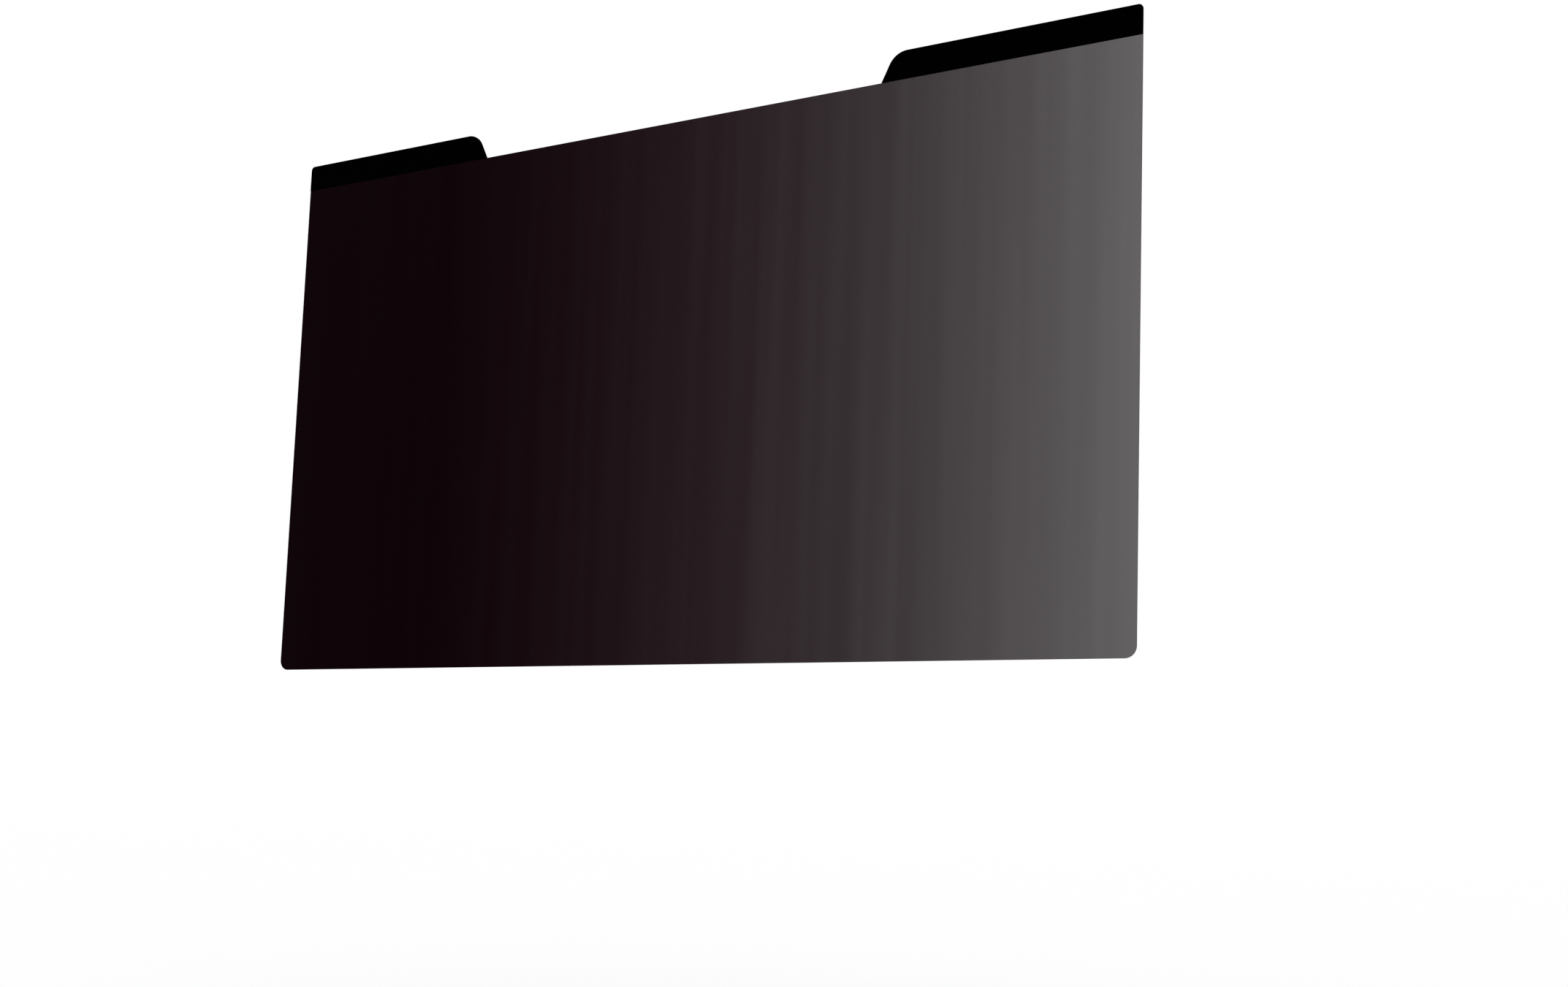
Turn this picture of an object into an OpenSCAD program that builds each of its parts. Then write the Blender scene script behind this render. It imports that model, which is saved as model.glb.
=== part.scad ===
// A privacy filter of the 27 inch size: one louvred film, cut with two tabs that stand up
// from its top corners. Each tab has a thin opaque cover on its front and a flexible magnet
// strip on its back, by which the filter hangs.
//
// Millimetres. X runs along the width and Z up. The front faces -Y.
// The origin is midway between the tabs, at the height of the film's straight top edge,
// in the plane of the magnets' back faces, where the filter meets what it hangs on.

/* [Film] */
// Width of the film, the viewable width of the 27 inch 16:9 size
film_w = 597.6; // [400:0.1:900]
// Height of the film, from its bottom edge to the straight top edge between the tabs
film_h = 336.2; // [200:0.1:560]
// Thickness of the film
film_t = 0.5; // [0.3:0.05:1.5]
// Radius of the film's two bottom corners
film_corner_r = 6.5; // [0.5:0.1:20]

/* [Tabs] */
// Height of a tab above the film's straight top edge
tab_h = 17.2; // [14:0.1:40]
// Length of a tab where it meets the film, from the film's side edge
tab_foot_l = 155.3; // [80:0.1:190]
// Lean of a tab's inner edge, in degrees from upright
tab_lean = 25.8; // [5:0.1:40]
// Radius of the shoulder between a tab's top edge and its leaning edge
tab_shoulder_r = 12.4; // [1:0.1:16]
// Radius of a tab's outer top corner
tab_corner_r = 2.75; // [0.5:0.05:10]

/* [Tab covers] */
// Thickness of the opaque cover on a tab's front
cover_t = 0.25; // [0.1:0.05:1]

/* [Magnet strips] */
// Thickness of a magnet strip
magnet_t = 0.8; // [0.4:0.1:3]
// Width of the tab that is left bare round a magnet strip
magnet_margin = 3; // [1:0.1:5]
// Radius of a magnet strip's corners
magnet_corner_r = 1; // [0.2:0.1:1.9]

/* [Hidden] */
$fn = 96;
// How far a cut runs past what it cuts
over = 1;

// From the contact plane forwards: magnet strip, film, cover
film_back = magnet_t;
cover_back = film_back + film_t;

// The shoulder's arc touches the top edge and the leaning edge at these places,
// measured inwards from the tab's outer edge and up from its foot
tab_tip = tab_foot_l - tab_h * tan(tab_lean);
shoulder_cut = tab_shoulder_r * tan((90 - tab_lean) / 2);
shoulder_start = tab_tip - shoulder_cut;
shoulder_centre = [shoulder_start, tab_h - tab_shoulder_r];
shoulder_end = shoulder_centre + tab_shoulder_r * [cos(tab_lean), sin(tab_lean)];

magnet_l = shoulder_start - 2 * magnet_margin;
magnet_w = tab_h - 2 * magnet_margin;

// A flat profile, drawn as seen from the front, made into an upright sheet
module upright_sheet(back, thickness) {
  translate([0, -back, 0])
    rotate([90, 0, 0])
      linear_extrude(height = thickness)
        children();
}

// What a round corner takes off a square one whose tip is at the origin
module corner_waste(r) {
  difference() {
    translate([-over, -over])
      square(r + over);
    translate([r, r])
      circle(r = r);
  }
}

// What the shoulder takes off the tip between a tab's top edge and its leaning edge
module shoulder_waste() {
  difference() {
    polygon([
      [shoulder_start, tab_h],
      [shoulder_start, tab_h + over],
      [tab_tip + over, tab_h + over],
      shoulder_end + over * [cos(tab_lean), sin(tab_lean)],
      shoulder_end
    ]);
    translate(shoulder_centre)
      circle(r = tab_shoulder_r);
  }
}

// Puts what is drawn from a tab's outer foot on the left (-1) or the right (1) tab
module on_side(side) {
  mirror([side > 0 ? 1 : 0, 0])
    translate([-film_w / 2, 0])
      children();
}

// The left half of the film's outline with square corners, from the bottom to the tab's foot
function left_outline() = [
  [-film_w / 2, -film_h],
  [-film_w / 2, tab_h],
  [tab_tip - film_w / 2, tab_h],
  [tab_foot_l - film_w / 2, 0]
];

function mirrored(points) = [for (i = [len(points) - 1:-1:0]) [-points[i].x, points[i].y]];

module film_profile() {
  difference() {
    polygon(concat(left_outline(), mirrored(left_outline())));
    for (side = [-1, 1])
      on_side(side) {
        translate([0, -film_h])
          corner_waste(film_corner_r);
        translate([0, tab_h])
          mirror([0, 1])
            corner_waste(tab_corner_r);
        shoulder_waste();
      }
  }
}

// One tab: all of the film's outline that stands above its straight top edge on that side
module tab_profile(side) {
  intersection() {
    film_profile();
    on_side(side)
      translate([-over, 0])
        square([tab_foot_l + over, tab_h + over]);
  }
}

module round_rectangle(length, width, r) {
  translate([r, 0])
    square([length - 2 * r, width]);
  translate([0, r])
    square([length, width - 2 * r]);
  for (x = [r, length - r], y = [r, width - r])
    translate([x, y])
      circle(r = r);
}

module privacy_film() {
  color([0.12, 0.1, 0.11, 0.85])
    upright_sheet(film_back, film_t)
      film_profile();
}

module tab_cover(side) {
  color([0.02, 0.02, 0.02])
    upright_sheet(cover_back, cover_t)
      tab_profile(side);
}

module magnet_strip(side) {
  color([0.16, 0.15, 0.14])
    upright_sheet(0, magnet_t)
      on_side(side)
        translate([magnet_margin, magnet_margin])
          round_rectangle(magnet_l, magnet_w, magnet_corner_r);
}

module left_tab_cover() { tab_cover(-1); }
module right_tab_cover() { tab_cover(1); }
module left_magnet_strip() { magnet_strip(-1); }
module right_magnet_strip() { magnet_strip(1); }

privacy_film();
left_tab_cover();
right_tab_cover();
left_magnet_strip();
right_magnet_strip();
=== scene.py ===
import math

import bpy
from mathutils import Euler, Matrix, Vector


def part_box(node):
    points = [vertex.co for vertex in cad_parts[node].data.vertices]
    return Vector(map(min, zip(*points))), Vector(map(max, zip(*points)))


MM = 0.001

# Camera, fitted to the film's corners and tabs in the photo
CAMERA_PLACE = (0.5742, -0.8772, -0.4205)
CAMERA_TURN = (96.26, -1.86, 28.70)  # degrees about X, Y and Z
CAMERA_LENS = 40.26  # mm
SENSOR_WIDTH = 36  # mm
CAMERA_SHIFT = 0.08  # upwards, as a share of the picture's width

# Most values of a noise lie in this part of its range from 0 to 1
NOISE_RANGE = (0.3, 0.7)
# Specks are where a noise is high, and grow from none to full in this part of its range
SPECK_RANGE = (0.55, 0.75)

# Painted shade: the film is made to pass less light towards its left end, standing in for the
# louvres seen at more of a slant there; the real film is even from end to end. Each face passes
# DARK_PASS of the light from the left end to FADE_START, and more and more up to CLEAR_PASS at the
# right end. The film's dim colour is painted shade as well, going from dark to clear between the
# two places below that start and end it. FADE_START and those two places are shares of the film's
# width, from the left.
DARK_PASS = 0.031
CLEAR_PASS = 0.345
FADE_START = 0.165
FADE_POWER = 2.0
PAINTED_SHADE_START = 0.22
PAINTED_SHADE_END = 0.61
FILM_DARK_COLOUR = (0.0034, 0.0001, 0.0010, 1)
FILM_CLEAR_COLOUR = (0.013, 0.0030, 0.0067, 1)
FILM_ON_BLACK_COLOUR = (0.0050, 0.0032, 0.0038, 1)  # the clear end's in front of black
EAR_START = 0.1 * MM  # the ears are all of the film above this height

# Faint upright streaks in the pass, drawn out along the film's height
STREAK_PITCH = 14 * MM
STREAK_STRETCH = (1, 0, 0.02)
STREAK_PASS = 0.012  # the most that a streak adds to the pass or takes from it
STREAK_DARK_SHARE = 0.4  # how much of that is left at the dark end

# From louvre to louvre the pass rises and falls by LOUVRE_SHARE of itself
LOUVRE_PITCH = 0.3 * MM
LOUVRE_SHARE = 0.06

FILM_GRAIN_PITCH = 0.35 * MM
FILM_GRAIN_DEPTH = 0.004 * MM
FILM_PATCH_PITCH = 60 * MM  # from one duller patch to the next
FILM_ROUGHNESS = (0.30, 0.38)
FILM_SPECULAR = 0.005
EDGE_FACING = 0.5  # a face whose normal has less than this along Y is on the cut edge

TAB_COLOUR = (0.0001, 0.0001, 0.0001, 1)
TAB_SPECK_COLOUR = (0.0020, 0.0020, 0.0020, 1)
TAB_GRAIN_PITCH = 0.5 * MM
TAB_GRAIN_DEPTH = 0.03 * MM
TAB_ROUGHNESS = (0.50, 0.65)
TAB_SPECULAR = 0.001

MAGNET_COLOUR = (0.030, 0.027, 0.025, 1)
MAGNET_SPECK_COLOUR = (0.060, 0.055, 0.050, 1)
MAGNET_SPECK_PITCH = 0.8 * MM
MAGNET_ROLL_PITCH = 1.2 * MM
MAGNET_ROLL_STRETCH = (0.03, 1, 1)  # fine lines along the strip
MAGNET_ROLL_DEPTH = 0.02 * MM
MAGNET_ROUGHNESS = (0.55, 0.75)
MAGNET_SPECULAR = 0.3

# The surface under the hanging film, below the film's straight top edge
FLOOR_HEIGHT = -0.58
FLOOR_SIZE = 12
FLOOR_COLOUR = (0.95, 0.95, 0.95, 1)

# The world lights the object with SKY_LIGHT. Seen directly, in gloss or through the film it is
# at WHITE_LIGHT.
SKY_LIGHT = 0.55
WHITE_LIGHT = 1.0
SUN_WIDTH = 40  # degrees


class Nodes:
    """A material's or world's node tree, with short ways to add nodes and join them."""

    def __init__(self, owner):
        owner.use_nodes = True
        self.tree = owner.node_tree
        self.tree.nodes.clear()

    def add(self, kind, inputs=None, **settings):
        node = self.tree.nodes.new(kind)
        for name, value in settings.items():
            setattr(node, name, value)
        for name, value in (inputs or {}).items():
            self.feed(node.inputs[name], value)
        return node

    def feed(self, socket, value):
        if isinstance(value, bpy.types.NodeSocket):
            self.tree.links.new(value, socket)
        else:
            socket.default_value = value

    def math(self, operation, *values):
        return self.add("ShaderNodeMath", dict(enumerate(values)), operation=operation).outputs[0]

    def coordinates(self, kind):
        return self.add("ShaderNodeTexCoord").outputs[kind]

    def component(self, vector, axis):
        return self.add("ShaderNodeSeparateXYZ", {"Vector": vector}).outputs[axis]

    def noise(self, place, pitch, stretch=(1, 1, 1), detail=2):
        """Noise with one wave to a pitch in metres, drawn out along an axis where stretch is small."""
        scale = tuple(s / pitch for s in stretch)
        mapped = self.add("ShaderNodeMapping", {"Vector": place, "Scale": scale}).outputs["Vector"]
        inputs = {"Vector": mapped, "Scale": 1.0, "Detail": detail}
        return self.add("ShaderNodeTexNoise", inputs).outputs["Fac"]

    def between(self, value, low, high, to_low=0.0, to_high=1.0):
        """Maps the range low to high onto to_low to to_high, and holds what lies outside at its ends."""
        inputs = {"Value": value, "From Min": low, "From Max": high, "To Min": to_low, "To Max": to_high}
        return self.add("ShaderNodeMapRange", inputs).outputs["Result"]

    def spread(self, noise, low, high):
        """Maps most of a noise onto the range low to high."""
        return self.between(noise, *NOISE_RANGE, low, high)

    def mix_colours(self, share, first, second):
        # A Mix node has sockets for every type of value: 0 is the factor, 6 and 7 are the two
        # colours, and the resulting colour is output 2
        node = self.add("ShaderNodeMix", {0: share, 6: first, 7: second}, data_type="RGBA")
        return node.outputs[2]

    def bump(self, height, depth):
        return self.add("ShaderNodeBump", {"Height": height, "Distance": depth}).outputs["Normal"]

    def finish(self, shader, kind="Material"):
        output = self.add(f"ShaderNodeOutput{kind}")
        self.tree.links.new(shader, output.inputs["Surface"])

    def coat(self, colour, roughness, specular, normal, alpha=1.0):
        """Ends a material's tree with its one shader."""
        inputs = {
            "Base Color": colour,
            "Roughness": roughness,
            "Specular IOR Level": specular,
            "Normal": normal,
            "Alpha": alpha,
        }
        self.finish(self.add("ShaderNodeBsdfPrincipled", inputs).outputs["BSDF"])


def film_pass(nodes, place, across, along):
    """The share of the light that passes each face, with a painted shade that lowers it towards the left
    end. From left to right, along goes from 0 to 1.
    """
    # Painted shade: the pass falls from CLEAR_PASS to DARK_PASS towards the left end
    fade = nodes.math("POWER", nodes.between(along, FADE_START, 1.0), FADE_POWER)
    clear = nodes.between(fade, 0, 1, DARK_PASS, CLEAR_PASS)
    streaks = nodes.noise(place, STREAK_PITCH, stretch=STREAK_STRETCH)
    streaks = nodes.spread(streaks, -STREAK_PASS, STREAK_PASS)
    streak_share = nodes.between(along, FADE_START, PAINTED_SHADE_END, STREAK_DARK_SHARE, 1.0)
    streaked = nodes.math("MULTIPLY_ADD", streaks, streak_share, clear)
    louvres = nodes.math("SINE", nodes.math("MULTIPLY", across, math.tau / LOUVRE_PITCH))
    louvres = nodes.between(louvres, -1, 1, 1 - LOUVRE_SHARE, 1 + LOUVRE_SHARE)
    return nodes.math("MULTIPLY", streaked, louvres)


def film_material():
    material = bpy.data.materials.new("louvred_film")
    nodes = Nodes(material)
    low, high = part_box("privacy_film")
    place = nodes.coordinates("Object")
    across = nodes.component(place, "X")
    along = nodes.between(across, low.x, high.x)
    # Painted shade: the film's colour darkens towards its left end, as its pass does
    painted_shade = nodes.between(along, PAINTED_SHADE_START, PAINTED_SHADE_END)
    stopped = nodes.math("SUBTRACT", 1.0, film_pass(nodes, place, across, along))

    # The cut edge shows the louvres' ends and lets nothing through
    facing = nodes.math("ABSOLUTE", nodes.component(nodes.coordinates("Normal"), "Y"))
    edge = nodes.math("LESS_THAN", facing, EDGE_FACING)

    # Nor do the ears, which lie on black covers and look as the film does in front of black
    ear = nodes.math("GREATER_THAN", nodes.component(place, "Z"), EAR_START)
    clear_colour = nodes.mix_colours(ear, FILM_CLEAR_COLOUR, FILM_ON_BLACK_COLOUR)

    nodes.coat(
        colour=nodes.mix_colours(painted_shade, FILM_DARK_COLOUR, clear_colour),
        roughness=nodes.spread(nodes.noise(place, FILM_PATCH_PITCH), *FILM_ROUGHNESS),
        specular=FILM_SPECULAR,
        normal=nodes.bump(nodes.noise(place, FILM_GRAIN_PITCH), FILM_GRAIN_DEPTH),
        alpha=nodes.math("MAXIMUM", stopped, nodes.math("MAXIMUM", edge, ear)),
    )
    return material


def tab_material():
    material = bpy.data.materials.new("tab_black")
    nodes = Nodes(material)
    grain = nodes.noise(nodes.coordinates("Object"), TAB_GRAIN_PITCH, detail=3)
    specks = nodes.between(grain, *SPECK_RANGE)
    nodes.coat(
        colour=nodes.mix_colours(specks, TAB_COLOUR, TAB_SPECK_COLOUR),
        roughness=nodes.spread(grain, *TAB_ROUGHNESS),
        specular=TAB_SPECULAR,
        normal=nodes.bump(grain, TAB_GRAIN_DEPTH),
    )
    return material


def magnet_material():
    material = bpy.data.materials.new("magnet_rubber")
    nodes = Nodes(material)
    place = nodes.coordinates("Object")
    specks = nodes.between(nodes.noise(place, MAGNET_SPECK_PITCH, detail=4), *SPECK_RANGE)
    rolled = nodes.noise(place, MAGNET_ROLL_PITCH, stretch=MAGNET_ROLL_STRETCH)
    nodes.coat(
        colour=nodes.mix_colours(specks, MAGNET_COLOUR, MAGNET_SPECK_COLOUR),
        roughness=nodes.spread(rolled, *MAGNET_ROUGHNESS),
        specular=MAGNET_SPECULAR,
        normal=nodes.bump(rolled, MAGNET_ROLL_DEPTH),
    )
    return material


def dress(frame):
    """Gives each CAD node its material."""
    film = film_material()
    tab = tab_material()
    magnet = magnet_material()
    finishes = {
        "privacy_film": film,
        "left_tab_cover": tab,
        "right_tab_cover": tab,
        "left_magnet_strip": magnet,
        "right_magnet_strip": magnet,
    }
    for name, material in finishes.items():
        piece = frame["nodes"][name]
        piece.data.materials.clear()
        piece.data.materials.append(material)


def white_world():
    """A soft even light from all round, and plain white behind the object."""
    world = bpy.data.worlds.new("studio")
    bpy.context.scene.world = world
    nodes = Nodes(world)
    path = nodes.add("ShaderNodeLightPath").outputs
    seen = nodes.math("MAXIMUM", path["Is Camera Ray"], path["Is Glossy Ray"])
    seen = nodes.math("MAXIMUM", seen, path["Is Transmission Ray"])
    strength = nodes.between(seen, 0.0, 1.0, SKY_LIGHT, WHITE_LIGHT)
    background = nodes.add("ShaderNodeBackground", {"Color": (1, 1, 1, 1), "Strength": strength})
    nodes.finish(background.outputs["Background"], "World")


def floor():
    half = FLOOR_SIZE / 2
    mesh = bpy.data.meshes.new("floor")
    corners = [(-half, -half, 0), (half, -half, 0), (half, half, 0), (-half, half, 0)]
    mesh.from_pydata(corners, [], [(0, 1, 2, 3)])
    plane = bpy.data.objects.new("floor", mesh)
    plane.location.z = FLOOR_HEIGHT
    bpy.context.scene.collection.objects.link(plane)
    material = bpy.data.materials.new("floor_white")
    nodes = Nodes(material)
    nodes.finish(nodes.add("ShaderNodeBsdfDiffuse", {"Color": FLOOR_COLOUR}).outputs["BSDF"])
    mesh.materials.append(material)


def sun(name, azimuth, elevation, strength):
    """A soft light from far off. Azimuth 0 is in front of the film, and 90 is on its right."""
    light = bpy.data.lights.new(name, "SUN")
    light.energy = strength
    light.angle = math.radians(SUN_WIDTH)
    holder = bpy.data.objects.new(name, light)
    holder.rotation_euler = Euler((math.radians(90 - elevation), 0, math.radians(azimuth)))
    bpy.context.scene.collection.objects.link(holder)


def camera():
    lens = bpy.data.cameras.new("camera")
    lens.lens = CAMERA_LENS
    lens.sensor_width = SENSOR_WIDTH
    lens.shift_y = CAMERA_SHIFT
    holder = bpy.data.objects.new("camera", lens)
    holder.location = CAMERA_PLACE
    holder.rotation_euler = Euler([math.radians(turn) for turn in CAMERA_TURN])
    bpy.context.scene.collection.objects.link(holder)
    bpy.context.scene.camera = holder


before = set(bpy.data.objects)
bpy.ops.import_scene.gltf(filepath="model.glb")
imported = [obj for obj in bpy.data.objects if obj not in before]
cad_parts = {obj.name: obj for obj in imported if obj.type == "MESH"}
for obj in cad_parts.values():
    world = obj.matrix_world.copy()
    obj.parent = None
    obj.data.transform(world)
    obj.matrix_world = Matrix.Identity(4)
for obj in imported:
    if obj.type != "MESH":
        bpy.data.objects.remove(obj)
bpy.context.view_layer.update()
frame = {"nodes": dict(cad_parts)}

dress(frame)
white_world()
floor()
sun("key", azimuth=-35, elevation=50, strength=1.3)
sun("fill", azimuth=140, elevation=45, strength=0.8)
camera()
bpy.context.scene.view_settings.view_transform = "Standard"
